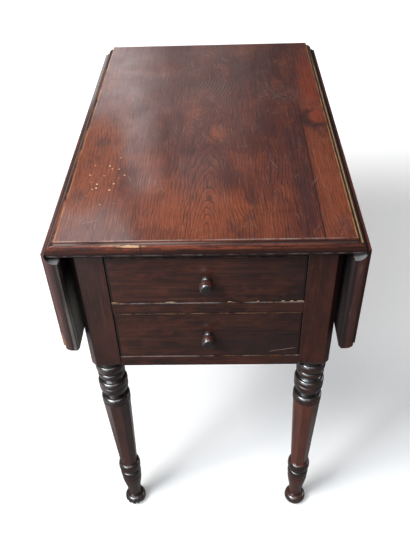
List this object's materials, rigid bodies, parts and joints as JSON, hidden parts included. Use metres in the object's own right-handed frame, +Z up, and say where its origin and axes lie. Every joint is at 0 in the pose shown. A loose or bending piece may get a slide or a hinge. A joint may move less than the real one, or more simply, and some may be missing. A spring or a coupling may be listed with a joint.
{
  "type": "drop-leaf work table",
  "caption": "Small wooden work table with two hanging side leaves on rule joints, two stacked drawers with turned knobs, and legs turned above and below an eight-sided taper.",
  "frame": {"origin": "centre of the footprint, on the floor, with both leaves hanging", "axes": "+Z up; -Y is the front, where the drawers come out; the leaves hang at -X (left) and +X (right)"},
  "size_m": [0.447, 0.691, 0.725],
  "materials": {
    "mahogany": "worn gloss varnish",
    "rosewood": "dark worn varnish",
    "pine": "bare, aged",
    "iron": "dull, oxidised"
  },
  "bodies": {
    "frame": {"back_panel": "rosewood", "bottom_rail": "rosewood", "drawer_divider": "rosewood", "fly_pin_left": "iron", "fly_pin_right": "iron", "hinge_pin_left_back": "iron", "hinge_pin_left_front": "iron", "hinge_pin_right_back": "iron", "hinge_pin_right_front": "iron", "hinge_top_flap_left_back": "iron", "hinge_top_flap_left_front": "iron", "hinge_top_flap_right_back": "iron", "hinge_top_flap_right_front": "iron", "inner_rail_left": "pine", "inner_rail_right": "pine", "kicker_left": "pine", "kicker_right": "pine", "leg_back_left": "rosewood", "leg_back_right": "rosewood", "leg_front_left": "rosewood", "leg_front_right": "rosewood", "outer_rail_left": "rosewood", "outer_rail_right": "rosewood", "runner_lower_left": "pine", "runner_lower_right": "pine", "runner_upper_left": "pine", "runner_upper_right": "pine", "stop_lower_left": "pine", "stop_lower_right": "pine", "stop_upper_left": "pine", "stop_upper_right": "pine", "top_board": "mahogany", "top_rail": "rosewood"},
    "leaf_left": {"hinge_leaf_flap_left_back": "iron", "hinge_leaf_flap_left_front": "iron", "leaf_left_board": "mahogany"},
    "leaf_right": {"hinge_leaf_flap_right_back": "iron", "hinge_leaf_flap_right_front": "iron", "leaf_right_board": "mahogany"},
    "bracket_left": {"fly_bracket_left": "rosewood"},
    "bracket_right": {"fly_bracket_right": "rosewood"},
    "drawer_upper": {"drawer_upper_back": "pine", "drawer_upper_bottom": "pine", "drawer_upper_front": "rosewood", "drawer_upper_side_left": "pine", "drawer_upper_side_right": "pine", "knob_upper": "rosewood"},
    "drawer_lower": {"drawer_lower_back": "pine", "drawer_lower_bottom": "pine", "drawer_lower_front": "rosewood", "drawer_lower_side_left": "pine", "drawer_lower_side_right": "pine", "knob_lower": "rosewood"}
  },
  "joints": [
    {"name": "leaf_left_hinge", "type": "hinge", "parent": "frame", "child": "leaf_left", "pos_m": [-0.2055, 0, 0.707], "axis": [0, 1, 0], "range_deg": [0, 90]},
    {"name": "leaf_right_hinge", "type": "hinge", "parent": "frame", "child": "leaf_right", "pos_m": [0.2055, 0, 0.707], "axis": [0, -1, 0], "range_deg": [0, 90]},
    {"name": "bracket_left_hinge", "type": "hinge", "parent": "frame", "child": "bracket_left", "pos_m": [-0.177, 0.095, 0.66], "axis": [0, 0, -1], "range_deg": [0, 3]},
    {"name": "bracket_right_hinge", "type": "hinge", "parent": "frame", "child": "bracket_right", "pos_m": [0.177, -0.095, 0.66], "axis": [0, 0, -1], "range_deg": [0, 3]},
    {"name": "drawer_upper_slide", "type": "slide", "parent": "frame", "child": "drawer_upper", "axis": [0, -1, 0], "range_m": [0, 0.4]},
    {"name": "drawer_lower_slide", "type": "slide", "parent": "frame", "child": "drawer_lower", "axis": [0, -1, 0], "range_m": [0, 0.4]}
  ]
}
